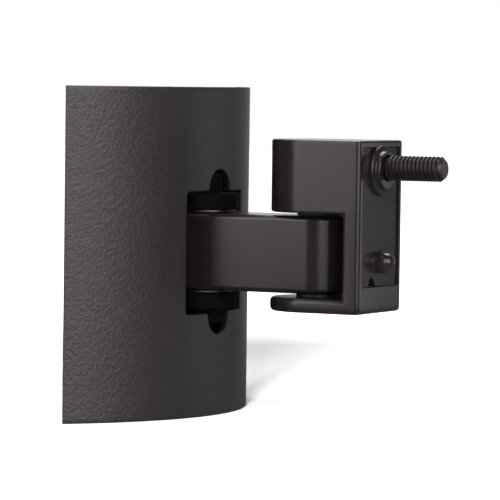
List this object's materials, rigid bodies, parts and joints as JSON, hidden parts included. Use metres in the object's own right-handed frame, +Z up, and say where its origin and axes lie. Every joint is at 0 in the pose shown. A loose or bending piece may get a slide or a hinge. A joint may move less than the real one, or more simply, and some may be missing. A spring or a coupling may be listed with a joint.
{
  "type": "speaker wall bracket",
  "caption": "Small wall bracket for a speaker: curved cover plate, swinging arm and a slotted swivel head with a screw stud and a locating pin.",
  "frame": {"origin": "on the wall, at the middle of the cover's width and height", "axes": "+Y into the wall, so the room is towards -Y; +X to the right as seen from the room; +Z up"},
  "size_m": [0.0576, 0.0522, 0.0532],
  "materials": {
    "cover_plastic": "moulded, fine leather-like grain, satin black-brown",
    "satin_casting": "die cast zinc, smooth satin black paint",
    "black_screw": "black oxide steel",
    "plated_washer": "zinc plated steel",
    "insert_plastic": "moulded, smooth satin black",
    "nylon": "natural nylon"
  },
  "bodies": {
    "wall_side": {"cover_plate": "cover_plastic", "wall_base": "satin_casting", "wall_hinge_screw": "black_screw", "wall_hinge_nut": "black_screw", "wall_washer_upper": "plated_washer", "wall_washer_lower": "plated_washer"},
    "arm": {"arm_body": "satin_casting", "arm_bush_wall": "nylon", "arm_bush_head": "nylon"},
    "head": {"head_body": "satin_casting", "head_hinge_screw": "black_screw", "head_spacer_upper": "nylon", "head_spacer_lower": "nylon", "locating_insert": "insert_plastic", "screw_retainer": "nylon"},
    "speaker_fixing": {"speaker_screw": "black_screw"}
  },
  "joints": [
    {"name": "wall_swivel", "type": "hinge", "parent": "wall_side", "child": "arm", "pos_m": [0, -0.0095, 0.00013], "axis": [0, 0, 1], "range_deg": [-40, 40]},
    {"name": "head_swivel", "type": "hinge", "parent": "arm", "child": "head", "pos_m": [0, -0.03045, 0.00013], "axis": [0, 0, 1], "range_deg": [-90, 90]},
    {"name": "speaker_screw_turn", "type": "hinge", "parent": "head", "child": "speaker_fixing", "pos_m": [0, -0.04705, 0.01418], "axis": [0, -1, 0], "continuous": true}
  ]
}
